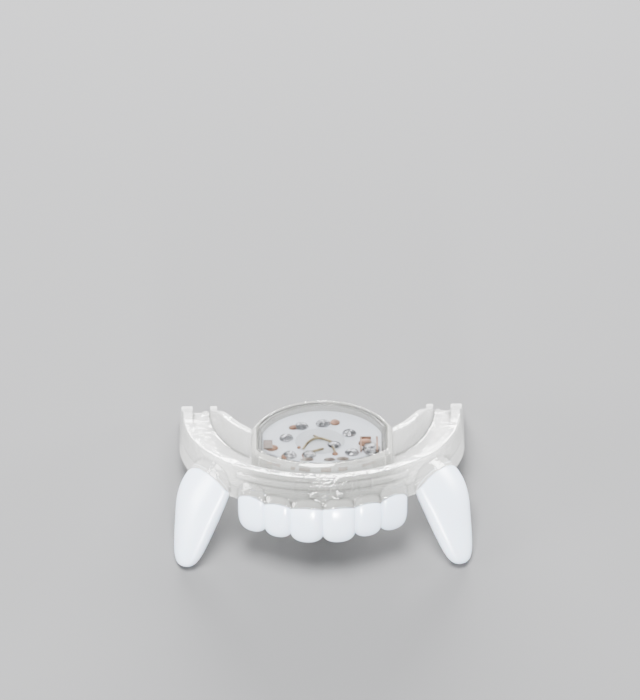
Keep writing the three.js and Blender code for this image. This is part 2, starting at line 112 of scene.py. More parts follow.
FANG_LENGTH = 27.7
FANG_WIDTH = 14.8
FANG_PLACE = 30.6
FANG_TURN = 10.0
FANG_DEPTH = 1.6
FANG_LEAN = {"reach": 9.8, "power": 1.1}
FANG_BEND = {"aside": 4.2, "run": 15}
FANG_FLATNESS = {"root": 0.38, "tip": 0.8}
FANG_GUM = {"width": 13.4, "shift": -0.9, "top": 4.4}
FANG_OUTLINE = (
    {"down": 0, "width": 0},
    {"down": 0.02, "width": 0.3},
    {"down": 0.08, "width": 0.58},
    {"down": 0.18, "width": 0.79},
    {"down": 0.3, "width": 0.9},
    {"down": 0.41, "width": 0.91},
    {"down": 0.52, "width": 0.85},
    {"down": 0.635, "width": 0.75},
    {"down": 0.775, "width": 0.62},
    {"down": 0.9, "width": 0.475},
    {"down": 0.97, "width": 0.3},
    {"down": 1, "width": 0},
)

BOARD_REST = 0.02  # gap between the board and what lies on it
BOARD_EDGE = 0.12
# The low round swelling of the board under its bare wire. It is coloured greyer than the board:
# painted shading that stands in for the shadow over the rise.
BOARD_RISE = {"x": -0.5, "y": 19.2, "across": 5.8, "along": 5.6, "height": 0.45}
SOLDER_COUNT = 8
SOLDER_RADIUS = 1.7
SOLDER_DEPTH = 0.92  # share of that radius from front to rear
SOLDER_HEIGHT = 0.95
SMALL_JOINT_HEIGHT = 0.5
LUMP = {"spread": 5, "across": 1.7, "along": 2.1}  # how close the lumps of a drop lie
# Copper that shows beside the solder: its middle on the board, its two radii and its turn.
COPPER_PADS = (
    {"x": -6.5, "y": 25.3, "across": 1.25, "along": 0.95, "turn": 10},
    {"x": 3.1, "y": 27.4, "across": 1.15, "along": 1.3, "turn": 0},
    {"x": -11.7, "y": 16.2, "across": 1.5, "along": 1.2, "turn": 15, "height": 0.75},
    {"x": -8.9, "y": 12.3, "across": 0.7, "along": 1.1, "turn": 20},
    {"x": -4.2, "y": 12.9, "across": 0.6, "along": 1.0, "turn": 0},
    {"x": 3.0, "y": 13.4, "across": 0.75, "along": 0.7, "turn": 0},
    {"x": -5.4, "y": 16.3, "across": 0.5, "along": 0.5, "turn": 0},
)
# Dull joints along the board's front edge.
EDGE_JOINTS = (
    {"x": -3.5, "y": 11.0, "across": 1.5, "along": 0.6},
    {"x": 1.7, "y": 10.9, "across": 1.3, "along": 0.6},
    {"x": 4.8, "y": 11.2, "across": 1.5, "along": 0.7},
)
WIRE_RADIUS = 0.29
# Bare wires, as points on the board with their height above it.
WIRES = (
    ((-4.4, 15.4, 0.3), (-3.7, 17.3, 0.6), (-2.4, 18.9, 0.8), (-1.0, 19.5, 0.85),
     (0.6, 19.0, 0.8), (2.2, 17.8, 0.7)),
    ((-1.0, 19.5, 0.85), (-1.5, 20.4, 0.7), (-1.9, 21.1, 0.35)),
    ((-3.0, 13.2, 0.6), (-1.4, 14.2, 0.7), (0.3, 15.2, 0.45)),
    ((2.4, 16.4, 0.5), (2.7, 15.0, 0.4), (3.0, 13.8, 0.3)),
)
PAD_SPREAD = 0.55  # of the bare pad past its place, towards the board's edge
PAD_EDGE = 0.1
CLIP_BAR = 0.4
CLIP_EDGE = 0.12
CLIP_GAP = (11.5, 12.6)  # from side to side, in the clip's far bar
CLIP_CAP = {"x": 10.1, "y": 18.0, "across": 1.65, "along": 1.4, "height": 0.95}
CLIP_JOINT = {"x": 11.5, "y": 15.3, "across": 2.1, "along": 2.6, "height": 1.1}
LAMP_BODY = {"depth": 0.8, "edge": 0.12}
LAMP_LENS = {"depth": 0.85, "share": 0.62}
LAMP_DIE = {"half": 0.4, "stand": 0.06, "sunk": 0.1}
# Copper tabs on the front of the lamp strip.
STRIP_TABS = (
    {"x": -11.0, "width": 3.6},
    {"x": -6.6, "width": 1.0},
    {"x": -4.0, "width": 2.6},
    {"x": 0.8, "width": 2.4},
    {"x": 4.6, "width": 2.2},
    {"x": 10.4, "width": 3.6},
)
STRIP_TAB = {"top": -2.7, "bottom": -3.5, "stand": 0.15, "edge": 0.05}
WALL_NUBS = ({"x": -2.3, "z": -4.7}, {"x": 3.9, "z": -4.7})
NUB_RADIUS = 0.85
NUB_FLATNESS = 0.8
REAR_NUB = {"x": 27.4, "radius": 0.6}

# How the camera sees the denture, in the photograph's 640 x 700 pixels.
PHOTO = {"width": 640, "height": 700}
PHOTO_SCALE = 4.3  # pixels to the millimetre
PHOTO_RIM = (322.4, 478.0)  # of the front of the tray's rim
TRAY_VIEW = 32.0  # degrees between the view and the tray's plane
PHOTO_ROLL = 0.6  # degrees
CAMERA_DISTANCE = 3.0
SENSOR = 36.0

FLOOR_COLOR = (0.066, 0.066, 0.068)
FLOOR_ROUGHNESS = 0.7
BACKDROP = {"color": (0.93, 0.96, 1), "strength": 0.3}
# Studio lights: each one's place and size in metres and its power in watts.
LIGHTS = (
    {"name": "top", "place_at": (-0.04, 0.02, 0.6), "size": (0.24, 0.24), "power": 21},
    {"name": "front", "place_at": (0.03, -0.5, 0.14), "size": (0.06, 0.08), "power": 7},
    {"name": "back", "place_at": (0.0, 0.5, 0.13), "size": (0.6, 0.06), "power": 34},
    {"name": "left", "place_at": (-0.5, -0.12, 0.2), "size": (0.2, 0.2), "power": 7},
    {"name": "right", "place_at": (0.5, 0.1, 0.15), "size": (0.12, 0.12), "power": 6},
)


# The level frame of the tray


def level_turn():
    """The turn from the level frame to the standing pose, from the bite face's outward normal."""
    normal = Vector(frame["record"]["mounts"][0]["axis"])
    return Matrix.Rotation(-math.atan2(normal.y, normal.z), 4, "X")


def level_box(node):
    """Lowest and highest corner of a CAD node in the level frame, in millimetres."""
    corners = [FROM_WORLD @ v.co for v in frame["nodes"][node].data.vertices]
    low = Vector([min(c[i] for c in corners) for i in range(3)])
    high = Vector([max(c[i] for c in corners) for i in range(3)])
    return low, high


def to_world():
    """From the level frame in millimetres to the frame's metres, by where the capsule stands."""
    turn = level_turn()
    capsule = [turn.inverted() @ v.co for v in frame["nodes"]["light_capsule"].data.vertices]
    front = min(v.y for v in capsule) - CAPSULE_SETBACK * MM
    rim = max(v.z for v in capsule)
    return turn @ Matrix.Translation((0, front, rim)) @ Matrix.Scale(MM, 4)


TO_WORLD = to_world()
FROM_WORLD = TO_WORLD.inverted()
TRAY_LOW, TRAY_HIGH = level_box("tray")
CAPSULE_LOW, CAPSULE_HIGH = level_box("light_capsule")
WINDOW_LOW, WINDOW_HIGH = level_box("capsule_window")
BOARD_LOW, BOARD_HIGH = level_box("circuit_board")
BOARD_TOP = BOARD_HIGH.z
REAR = TRAY_HIGH.y
TRAY_BOTTOM = TRAY_LOW.z
FLOOR_TOP = TRAY_BOTTOM + TRAY_FLOOR
CAPSULE_HALF_WIDTH = CAPSULE_HIGH.x
BODY = "root"


# Mesh helpers


def as_object(bm, name):
    mesh = bpy.data.meshes.new(name)
    bm.to_mesh(mesh)
    bm.free()
    obj = bpy.data.objects.new(name, mesh)
    bpy.context.scene.collection.objects.link(obj)
    return obj


def settle(obj):
    """Applies the object's modifiers to its mesh."""
    graph = bpy.context.evaluated_depsgraph_get()
    mesh = bpy.data.meshes.new_from_object(obj.evaluated_get(graph))
    obj.modifiers.clear()
    old = obj.data
    obj.data = mesh
    bpy.data.meshes.remove(old)
    return obj


def combine(obj, tool, operation):
    modifier = obj.modifiers.new(operation.lower(), "BOOLEAN")
    modifier.operation = operation
    modifier.solver = "MANIFOLD"
    modifier.object = tool
    settle(obj)
    bpy.data.objects.remove(tool)
    return obj


def join(obj, tool):
    return combine(obj, tool, "UNION")


def cut(obj, tool):
    return combine(obj, tool, "DIFFERENCE")


def keep(obj, tool):
    return combine(obj, tool, "INTERSECT")


def copy_of(obj):
    twin = obj.copy()
    twin.data = obj.data.copy()
    bpy.context.scene.collection.objects.link(twin)
    return twin


def mirrored(obj):
    bm = bmesh.new()
    bm.from_mesh(obj.data)
    bmesh.ops.scale(bm, vec=(-1, 1, 1), verts=bm.verts)
    bmesh.ops.reverse_faces(bm, faces=bm.faces)
    bm.to_mesh(obj.data)
    bm.free()
    return obj


def draw_out(bm, way):
    """Extrudes the flat faces of a bmesh along a vector into a closed solid."""
    raised = bmesh.ops.extrude_face_region(bm, geom=bm.faces[:])
    verts = [g for g in raised["geom"] if isinstance(g, bmesh.types.BMVert)]
    bmesh.ops.translate(bm, vec=way, verts=verts)
    bmesh.ops.recalc_face_normals(bm, faces=bm.faces)


def prism(bm, bottom, top):
    """Raises the flat faces of a bmesh into a solid between two heights."""
    bmesh.ops.translate(bm, vec=(0, 0, bottom), verts=bm.verts)
    draw_out(bm, (0, 0, top - bottom))
    return as_object(bm, "prism")


def disc(segments):
    """A flat round face of radius 1, as a bmesh that is then drawn into an outline."""
    bm = bmesh.new()
    bmesh.ops.create_circle(bm, cap_ends=True, radius=1, segments=segments)
    return bm


def block(low, high, name="block"):
    bm = bmesh.new()
    bmesh.ops.create_cube(bm, size=1)
    size = Vector(high) - Vector(low)
    bmesh.ops.scale(bm, vec=size, verts=bm.verts)
    bmesh.ops.translate(bm, vec=Vector(low) + size / 2, verts=bm.verts)
    return as_object(bm, name)


def soften(obj, voxel, passes):
    """Rounds all edges a little, as soft moulded plastic has them."""
    remesh = obj.modifiers.new("remesh", "REMESH")
    remesh.mode = "VOXEL"
    remesh.voxel_size = voxel
    smooth = obj.modifiers.new("smooth", "SMOOTH")
    smooth.factor = 0.5
    smooth.iterations = passes
    settle(obj)
    obj.data.shade_smooth()
    return obj


def round_edges(obj, width, segments=3, angle=35):
    """Bevels the edges that turn by more than the angle, in degrees."""
    obj.data.shade_smooth()
    bevel = obj.modifiers.new("bevel", "BEVEL")
    bevel.width = width
    bevel.segments = segments
    bevel.limit_method = "ANGLE"
    bevel.angle_limit = math.radians(angle)
    bevel.harden_normals = True
    return settle(obj)


def place(obj, name, material, replaces=(), sharp=40):
    """Turns a finished level piece into its place and gives it to the frame. Edges over the sharp
    angle, in degrees, stay sharp, and with none the piece keeps the shading that it has."""
    obj.name = name
    obj.data.name = name
    obj.data.transform(TO_WORLD)
    if sharp:
        obj.data.shade_smooth()
        obj.data.set_sharp_from_angle(angle=math.radians(sharp))
    obj.data.materials.clear()
    obj.data.materials.append(material)
    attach(obj, BODY)
    if replaces:
        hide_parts(*replaces)
    return obj


# Outlines in plan


def arch_solid(inset, bottom, top, past=0):
    """The tray's outer outline: half an ellipse in front, straight arms behind."""
    bm = disc(OUTLINE_STEPS)
    half = (ARCH_HALF_WIDTH - inset, ARCH_FRONT - inset, 1)
    bmesh.ops.scale(bm, vec=half, verts=bm.verts)
    bmesh.ops.translate(bm, vec=(0, ARCH_FRONT, 0), verts=bm.verts)
    bmesh.ops.bisect_plane(
        bm, geom=bm.verts[:] + bm.edges[:] + bm.faces[:], dist=ON_CUT,
        plane_co=(0, ARCH_FRONT, 0), plane_no=(0, 1, 0), clear_outer=True,
    )
    rear = [e for e in bm.edges if all(abs(v.co.y - ARCH_FRONT) < NEAR for v in e.verts)]
    arms = bmesh.ops.extrude_edge_only(bm, edges=rear)
    verts = [g for g in arms["geom"] if isinstance(g, bmesh.types.BMVert)]
    bmesh.ops.translate(bm, vec=(0, REAR - ARCH_FRONT + past, 0), verts=verts)
    return prism(bm, bottom, top)


def flared(obj):
    """Widens a piece towards the tray's foot, as the arms' outer walls lean."""
    for v in obj.data.vertices:
        v.co.x *= 1 + WALL_FLARE * (v.co.z / TRAY_BOTTOM) / ARCH_HALF_WIDTH
    return obj


def throat_solid(grow):
    """The opening between the arms: an ellipse drawn apart across the denture."""
    bm = disc(OUTLINE_STEPS)
    bmesh.ops.scale(bm, vec=(THROAT_CORNER + grow, THROAT_DEPTH + grow, 1), verts=bm.verts)
    bmesh.ops.translate(bm, vec=(0, REAR, 0), verts=bm.verts)
    apart = THROAT_WIDTH / 2 - THROAT_CORNER
    for v in bm.verts:
        if abs(v.co.x) > NEAR:
            v.co.x += math.copysign(apart, v.co.x)
    return prism(bm, -BITE, BITE)


def bow_radius(bow):
    """Radius of an arc as wide as the capsule that stands out by the bow given."""
    return (CAPSULE_HALF_WIDTH**2 + bow**2) / (2 * bow)


def capsule_solid(inset, bottom, top):
    """The capsule's outline: flat sides between a shallow front bow and a deep rear one."""
    front = bow_radius(CAPSULE_FRONT_BOW)
    rear = bow_radius(CAPSULE_REAR_BOW)
    front_middle = CAPSULE_LOW.y + front
    rear_middle = CAPSULE_HIGH.y + CAPSULE_REAR_STAND - rear
    middle = (CAPSULE_LOW.y + CAPSULE_HIGH.y) / 2
    bm = disc(CAPSULE_STEPS)
    for v in bm.verts:
        reach = (CAPSULE_HALF_WIDTH - inset) / max(abs(v.co.x), TINY)
        for radius, centre in ((front - inset, front_middle), (rear - inset, rear_middle)):
            offset = middle - centre
            along = v.co.y * offset
            root = math.sqrt(along**2 - offset**2 + radius**2)
            reach = min(reach, root - along)
        v.co = Vector((v.co.x * reach, middle + v.co.y * reach, 0))
    return prism(bm, bottom, top)


def wall_table():
    """Distance along the rim for each small step of the ellipse's angle."""
    turn = math.pi / 2 / WALL_STEPS
    total = 0
    table = [(0, 0)]
    for i in range(WALL_STEPS):
        angle = (i + 0.5) * turn
        step = math.hypot(ARCH_HALF_WIDTH * math.cos(angle), ARCH_FRONT * math.sin(angle))
        total += step * turn
        table.append((total, (i + 1) * turn))
    return table


WALL_TABLE = wall_table()


def wall_place(along):
    """A point on the outer wall and the way it faces, by its distance from the middle."""
    row = bisect.bisect_left(WALL_TABLE, (abs(along), 0))
    angle = WALL_TABLE[min(row, len(WALL_TABLE) - 1)][1]
    x = ARCH_HALF_WIDTH * math.sin(angle)
    y = ARCH_FRONT * (1 - math.cos(angle))
    facing = math.atan2(ARCH_FRONT * math.sin(angle), ARCH_HALF_WIDTH * math.cos(angle))
    side = -1 if along < 0 else 1
    return x * side, y, facing * side


def on_wall(bm, along, turn=0):
    x, y, facing = wall_place(along)
    turned = Matrix.Rotation(facing - math.radians(turn), 4, "Z")
    bmesh.ops.transform(bm, matrix=Matrix.Translation((x, y, 0)) @ turned, verts=bm.verts)
    return bm


# Teeth and fangs


def drawn_out(value, squareness):
    return math.copysign(abs(value) ** squareness, value)


def tooth_form(row, along):
    """A block with rounded faces and a bowed biting edge that follows the wall's bend."""
    top = CROWN_TOP * row["drop"] - ROOT_RISE * row["root"]
    bottom = CROWN_TOP * row["drop"] + CROWN_HEIGHT * row["crown"]
    width = TOOTH_WIDTH * row["width"] + TOOTH_OVERLAP
    plan = TOOTH_SQUARENESS["plan"]
    bm = bmesh.new()
    bmesh.ops.create_uvsphere(bm, **TOOTH_STEPS, radius=1)
    for v in bm.verts:
        upright = TOOTH_SQUARENESS["top" if v.co.z > 0 else "bottom"]
        reach = math.hypot(v.co.x, v.co.y)
        ring = drawn_out(reach, upright)
        across = ring * drawn_out(v.co.x / max(reach, TINY), plan)
        inward = ring * drawn_out(v.co.y / max(reach, TINY), plan)
        up = drawn_out(v.co.z, upright)
        bow = TOOTH_BOW * across * across * max(0, -up)
        x, y, facing = wall_place(along + across * width / 2)
        inward *= 1 - TOOTH_BULGE * up * up
        inside = (inward + 1) * TOOTH_THICKNESS / 2 - TOOTH_STAND
        v.co = (
            x - inside * math.sin(facing),
            y + inside * math.cos(facing),
            (up * (bottom - top) - top - bottom) / 2 + bow,
        )
    return as_object(bm, "tooth form")


def smooth_rows(rows, key, steps):
    """Values of a table's column along its down column, on a smooth curve through the rows."""
    points = [Vector((row["down"], row[key])) for row in rows]
    ends = [points[0] * 2 - points[1], *points, points[-1] * 2 - points[-2]]
    curve = []
    for a, b, c, d in zip(ends, ends[1:], ends[2:], ends[3:]):
        for i in range(steps):
            t = i / steps
            curve.append(
                0.5
                * (
                    2 * b
                    + (c - a) * t
                    + (2 * a - 5 * b + 4 * c - d) * t**2
                    + (3 * b - a - 3 * c + d) * t**3
                )
            )
    return [*curve, points[-1]]


def fang_form():
    """A fang turned on its axis, then flattened, leaned outwards and bent at its top."""
    bm = bmesh.new()
    outline = [
        bm.verts.new((FANG_WIDTH / 2 * max(p.y, 0), 0, -FANG_LENGTH * p.x))
        for p in smooth_rows(FANG_OUTLINE, "width", FANG_ROW_STEPS)
    ]
    edges = [bm.edges.new(pair) for pair in zip(outline, outline[1:])]
    bmesh.ops.spin(
        bm, geom=outline + edges, cent=(0, 0, 0), axis=(0, 0, 1),
        angle=2 * math.pi, steps=FANG_STEPS, use_merge=True,
    )
    bmesh.ops.remove_doubles(bm, verts=bm.verts, dist=NEAR)
    bmesh.ops.recalc_face_normals(bm, faces=bm.faces)
    root, tip = FANG_FLATNESS["root"], FANG_FLATNESS["tip"]
    for v in bm.verts:
        depth = max(0, -v.co.z)
        down = depth / FANG_LENGTH
        flatness = root + (tip - root) * down
        lean = FANG_LEAN["reach"] * down ** FANG_LEAN["power"]
        v.co.x -= FANG_BEND["aside"] * max(0, 1 - depth / FANG_BEND["run"]) ** 2
        v.co.y = v.co.y * flatness + FANG_DEPTH - lean
    on_wall(bm, FANG_PLACE, FANG_TURN)
    return as_object(bm, "fang form")


def below_gum(width, top, along, shift=0, turn=0, grow=0):
    """All that hangs under the tray, and the arch of white in front of its wall."""
    base = TRAY_BOTTOM + grow
    bm = disc(GUM_STEPS)
    bmesh.ops.scale(bm, vec=(width / 2 + grow, -top - base + grow, 1), verts=bm.verts)
    bmesh.ops.rotate(bm, matrix=Matrix.Rotation(math.pi / 2, 3, "X"), verts=bm.verts)
    bmesh.ops.translate(bm, vec=(shift, BITE, base), verts=bm.verts)
    draw_out(bm, (0, -2 * BITE, 0))
    on_wall(bm, along, turn)
    arch = as_object(bm, "gum arch")
    return join(arch, block((-BITE, -BITE, -BITE), (BITE, BITE, base), "under tray"))


def split_at_gum(form, gum, side):
    """The clear root and the white crown of one tooth, on the side asked for."""
    crown = keep(copy_of(form), below_gum(**gum))
    crown = cut(crown, flared(arch_solid(-FIT, TRAY_BOTTOM - FIT, FIT, BITE)))
    root = cut(form, below_gum(**gum, grow=FIT))
    if side < 0:
        mirrored(crown)
        mirrored(root)
    return root, crown


def tooth_parts(side):
    along = 0
    parts = []
    for row in TOOTH_ROWS:
        width = TOOTH_WIDTH * row["width"]
        middle = along + (width + TOOTH_GAP) / 2
        along += width + TOOTH_GAP
        gum = {"width": width + GUM_ARCH, "top": CROWN_TOP * row["drop"], "along": middle}
        parts.append(split_at_gum(tooth_form(row, middle), gum, side))
    return parts


def fang_parts(side):
    gum = {**FANG_GUM, "along": FANG_PLACE, "turn": FANG_TURN}
    return split_at_gum(fang_form(), gum, side)


# The clear pieces


def arm_slope():
    """What the arms' walls lose towards their rear ends."""
    drop = -TRAY_BOTTOM - ARM_END_HEIGHT
    bm = bmesh.new()
    line = []
    for i in range(SLOPE_STEPS + 1):
        share = i / SLOPE_STEPS
        height = -drop * share * share * (3 - 2 * share)
        line.append(bm.verts.new((-BITE, REAR - SLOPE_RUN * (1 - share), height)))
    line.append(bm.verts.new((-BITE, REAR + BITE, -drop)))
    line.append(bm.verts.new((-BITE, REAR + BITE, BITE)))
    line.append(bm.verts.new((-BITE, REAR - SLOPE_RUN, BITE)))
    bm.faces.new(line)
    draw_out(bm, (2 * BITE, 0, 0))
    return as_object(bm, "arm slope")


def ball(place_at, radii, lumps=0.0, turn=0):
    """A sphere drawn to three radii, its surface a little lumpy where that is asked for."""
    bm = bmesh.new()
    bmesh.ops.create_uvsphere(bm, **BALL_STEPS, radius=1)
    for v in bm.verts:
        shift = Vector(place_at) + v.co * LUMP["spread"]
        wave = math.sin(shift.x * LUMP["across"]) * math.sin(shift.y * LUMP["along"] + shift.z)
        v.co *= 1 + lumps * wave
    bmesh.ops.scale(bm, vec=radii, verts=bm.verts)
    bmesh.ops.rotate(bm, matrix=Matrix.Rotation(math.radians(turn), 3, "Z"), verts=bm.verts)
    bmesh.ops.translate(bm, vec=place_at, verts=bm.verts)
    return as_object(bm, "ball")


def wall_nub(nub):
    """A small moulded bump on the front wall."""
    x, y, _ = wall_place(nub["x"])
    return ball((x, y, nub["z"]), (NUB_RADIUS, NUB_RADIUS, NUB_RADIUS * NUB_FLATNESS))


def front_bead():
    """The low band along the front wall, a little below its rim."""
    bead = arch_solid(-FRONT_BEAD["stand"], FRONT_BEAD["bottom"], FRONT_BEAD["top"])
    low = (-FRONT_BEAD["half_width"], -BITE, -BITE)
    high = (FRONT_BEAD["half_width"], FRONT_BEAD["depth"], 0)
    return keep(flared(bead), block(low, high))


def lamp_pocket(number):
    """A shallow pocket in the outer wall's inner face, before one of the front lamps."""
    low, high = level_box(f"front_led_{number}")
    bm = bmesh.new()
    bmesh.ops.create_cube(bm, size=1)
    height = LAMP_POCKET["bottom"] - LAMP_POCKET["top"]
    depth = OUTER_WALL - LAMP_POCKET["wall"]
    bmesh.ops.scale(bm, vec=(LAMP_POCKET["width"], 2 * depth, height), verts=bm.verts)
    down = (LAMP_POCKET["bottom"] + LAMP_POCKET["top"]) / 2
    bmesh.ops.translate(bm, vec=(0, OUTER_WALL, -down), verts=bm.verts)
    on_wall(bm, (low.x + high.x) / 2)
    return as_object(bm, "lamp pocket")


def make_tray(roots):
    tray = flared(arch_solid(0, TRAY_BOTTOM, 0))
    join(tray, front_bead())
    for nub in WALL_NUBS:
        join(tray, wall_nub(nub))
    for root in roots:
        join(tray, root)
    trough = arch_solid(OUTER_WALL, FLOOR_TOP, BITE, BITE)
    cut(trough, throat_solid(INNER_WALL))
    cut(tray, trough)
    cut(tray, throat_solid(0))
    cut(tray, capsule_solid(-FIT, -BITE, BITE))
    cut(tray, arm_slope())
    for number in range(1, LAMP_COUNT + 1):
        cut(tray, lamp_pocket(number))
    for side in (-1, 1):
        radius = REAR_NUB["radius"]
        join(tray, ball((side * REAR_NUB["x"], REAR - radius, FLOOR_TOP), (radius,) * 3))
    return soften(tray, **TRAY_SOFTNESS)


def make_capsule():
    shell = round_edges(capsule_solid(0, TRAY_BOTTOM, 0), CAPSULE_CHAMFER, segments=1, angle=60)
    cut(shell, capsule_solid(CAPSULE_WALL, TRAY_BOTTOM + CAPSULE_FLOOR, BITE))
    rebate = WINDOW_LOW.z - FIT
    cut(shell, capsule_solid(CAPSULE_WALL - WINDOW_REBATE, rebate, BITE))
    return soften(shell, **CAPSULE_SOFTNESS)


def make_window():
    inset = CAPSULE_HALF_WIDTH - WINDOW_HIGH.x
    return round_edges(capsule_solid(inset, WINDOW_LOW.z, WINDOW_HIGH.z), WINDOW_EDGE)


# The board and what it carries


def dome(x, y, across, along, height, lumps=0.0, turn=0):
    """A flattened drop that lies on the board."""
    top = BOARD_TOP + BOARD_REST
    drop = ball((x, y, top), (across, along, height), lumps, turn)
    return keep(drop, block((-BITE, -BITE, top), (BITE, BITE, BITE)))


def make_board():
    board = capsule_solid(CAPSULE_HALF_WIDTH - BOARD_HIGH.x, BOARD_LOW.z, BOARD_TOP)
    bm = disc(OUTLINE_STEPS)
    radius = bow_radius(CAPSULE_FRONT_BOW)
    reach = radius - (BOARD_LOW.y - CAPSULE_LOW.y)
    bmesh.ops.scale(bm, vec=(reach, reach, 1), verts=bm.verts)
    bmesh.ops.translate(bm, vec=(0, CAPSULE_LOW.y + radius, 0), verts=bm.verts)
    keep(board, prism(bm, -BITE, BITE))
    return round_edges(board, BOARD_EDGE)


def tube(points, radius):
    """A bare wire through points on the board."""
    curve = bpy.data.curves.new("wire", "CURVE")
    curve.dimensions = "3D"
    curve.bevel_depth = radius
    curve.bevel_resolution = 4
    curve.use_fill_caps = True
    spline = curve.splines.new("NURBS")
    spline.points.add(len(points) - 1)
    for point, (x, y, up) in zip(spline.points, points):
        point.co = (x, y, BOARD_TOP + up, 1)
    spline.use_endpoint_u = True
    spline.order_u = 4 if len(points) > 3 else 3
    spline.resolution_u = 12
    line = bpy.data.objects.new("wire", curve)
    bpy.context.scene.collection.objects.link(line)
    graph = bpy.context.evaluated_depsgraph_get()
    mesh = bpy.data.meshes.new_from_object(line.evaluated_get(graph))
    bpy.data.objects.remove(line)
    wire = bpy.data.objects.new("wire", mesh)
    bpy.context.scene.collection.objects.link(wire)
    return wire


def bracket_frame():
    """The copper clip at the board's right: a thin frame with a round cap at its far corner."""
    low, high = level_box("contact_bracket")
    clip = block(low, high, "bracket")
    inner = (high.x - CLIP_BAR, high.y - CLIP_BAR, BITE)
    cut(clip, block((low.x + CLIP_BAR, -BITE, -BITE), inner))
    cut(clip, block((CLIP_GAP[0], -BITE, -BITE), (CLIP_GAP[1], BITE, BITE)))
    round_edges(clip, CLIP_EDGE)
    return join(clip, dome(**CLIP_CAP))


def front_lamp(number):
    """One lamp of the front row: a dark body with a clear lens and a die in its front."""
    node = frame["nodes"][f"front_led_{number}"]
    corners = [FROM_WORLD @ v.co for v in node.data.vertices]
    middle = sum(corners, Vector()) / len(corners)
    across = max(corners, key=lambda c: c.x) - min(corners, key=lambda c: c.x)
    turn = math.atan2(middle.x, CAPSULE_LOW.y + bow_radius(CAPSULE_FRONT_BOW) - middle.y)
    height = max(c.z for c in corners) - min(c.z for c in corners)
    width = across.x / math.cos(turn) - LAMP_BODY["depth"] * math.tan(abs(turn))
    half = Vector((width, LAMP_BODY["depth"], height)) / 2
    body = round_edges(block(-half, half), LAMP_BODY["edge"])
    share = LAMP_LENS["share"]
    lens = ball((0, -half.y, 0), (half.x * share, LAMP_LENS["depth"] / 2, half.z * share))
    side = LAMP_DIE["half"]
    low = (-side, -half.y - LAMP_DIE["stand"], -side)
    high = (side, -half.y + LAMP_DIE["sunk"], side)
    die = block(low, high)
    seat = Matrix.Translation(middle) @ Matrix.Rotation(turn, 4, "Z")
    for piece in (body, lens, die):
        piece.data.transform(seat)
    return body, lens, die


def strip_tab(tab):
    """A copper tab on the front of the lamp strip, which follows the capsule's bow."""
    strip_front = level_box("led_strip")[0].y - CAPSULE_LOW.y
    radius = bow_radius(CAPSULE_FRONT_BOW) - strip_front
    turn = math.asin(tab["x"] / radius)
    low = (-tab["width"] / 2, -radius - STRIP_TAB["stand"], STRIP_TAB["bottom"])
    high = (tab["width"] / 2, -radius, STRIP_TAB["top"])
    piece = round_edges(block(low, high), STRIP_TAB["edge"])
    middle = Matrix.Translation((0, CAPSULE_LOW.y + bow_radius(CAPSULE_FRONT_BOW), 0))
    piece.data.transform(middle @ Matrix.Rotation(turn, 4, "Z"))
    return piece


# Materials


def new_material(name):
    material = bpy.data.materials.new(name)
    material.use_nodes = True
    return material, material.node_tree.nodes, material.node_tree.links


SPECK_SHARE = 0.25  # of the specks' height to the waves'
PATCH_SIZE = 3  # of the patches of colour, as a multiple of the waves


def surface_group():
    """Moulded unevenness: slow waves and fine specks, as a height and a roughness."""
    group = bpy.data.node_groups.new("moulded surface", "ShaderNodeTree")
    sockets = group.interface
    sockets.new_socket("Wave Scale", in_out="INPUT", socket_type="NodeSocketFloat")
    sockets.new_socket("Speck Scale", in_out="INPUT", socket_type="NodeSocketFloat")
    sockets.new_socket("Roughness Low", in_out="INPUT", socket_type="NodeSocketFloat")
    sockets.new_socket("Roughness High", in_out="INPUT", socket_type="NodeSocketFloat")
    sockets.new_socket("Height", in_out="OUTPUT", socket_type="NodeSocketFloat")
    sockets.new_socket("Roughness", in_out="OUTPUT", socket_type="NodeSocketFloat")
    nodes, links = group.nodes, group.links
    given = nodes.new("NodeGroupInput")
    result = nodes.new("NodeGroupOutput")
    place_of = nodes.new("ShaderNodeTexCoord")
    wave = nodes.new("ShaderNodeTexNoise")
    wave.inputs["Detail"].default_value = 2
    speck = nodes.new("ShaderNodeTexNoise")
    speck.inputs["Detail"].default_value = 4
    mix = nodes.new("ShaderNodeMath")
    mix.operation = "MULTIPLY_ADD"
    mix.inputs[1].default_value = SPECK_SHARE
    spread = nodes.new("ShaderNodeMapRange")
    links.new(place_of.outputs["Object"], wave.inputs["Vector"])
    links.new(place_of.outputs["Object"], speck.inputs["Vector"])
    links.new(given.outputs["Wave Scale"], wave.inputs["Scale"])
    links.new(given.outputs["Speck Scale"], speck.inputs["Scale"])
    links.new(speck.outputs["Fac"], mix.inputs[0])
    links.new(wave.outputs["Fac"], mix.inputs[2])
    links.new(mix.outputs["Value"], result.inputs["Height"])
    links.new(wave.outputs["Fac"], spread.inputs["Value"])
    links.new(given.outputs["Roughness Low"], spread.inputs["To Min"])
    links.new(given.outputs["Roughness High"], spread.inputs["To Max"])
    links.new(spread.outputs["Result"], result.inputs["Roughness"])
    return group


SURFACE = surface_group()
# Where the painted crease shading falls, by the surface's pointiness.
CREASE_SHADING_RANGE = (0.465, 0.506)  # of the surface's pointiness, which is 0.5 where it is flat


